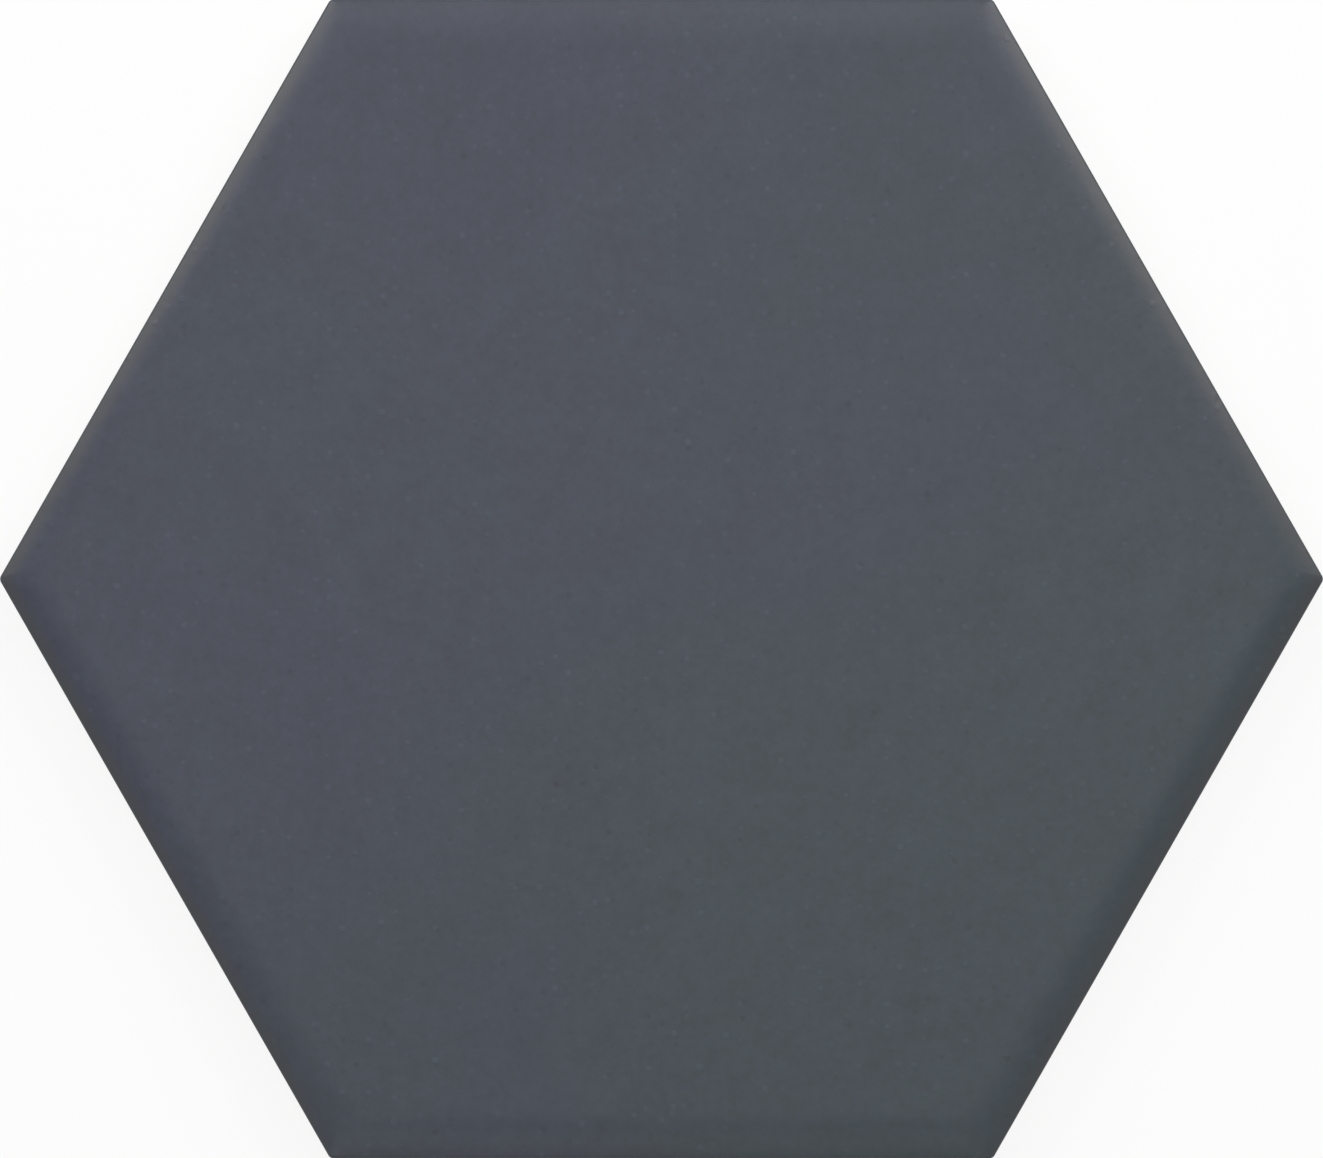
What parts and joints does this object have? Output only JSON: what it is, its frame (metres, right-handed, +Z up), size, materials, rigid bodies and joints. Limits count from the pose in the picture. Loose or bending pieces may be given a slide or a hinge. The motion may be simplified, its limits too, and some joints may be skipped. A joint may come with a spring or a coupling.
{
  "type": "hexagon floor tile",
  "caption": "Flat hexagonal floor tile of dark slate-coloured glazed porcelain, with a softly cushioned edge round the face and a honeycomb-keyed back that grips the adhesive.",
  "frame": {"origin": "centre of the plane that the back rests on", "axes": "+X from corner to corner, +Y from flat side to flat side, +Z up out of the glazed face"},
  "size_m": [0.1996, 0.175, 0.009],
  "materials": {
    "glazed_porcelain": "satin slate-grey glaze over a fired porcelain body"
  },
  "bodies": {
    "root": {"hexagon_tile": "glazed_porcelain"}
  },
  "joints": []
}
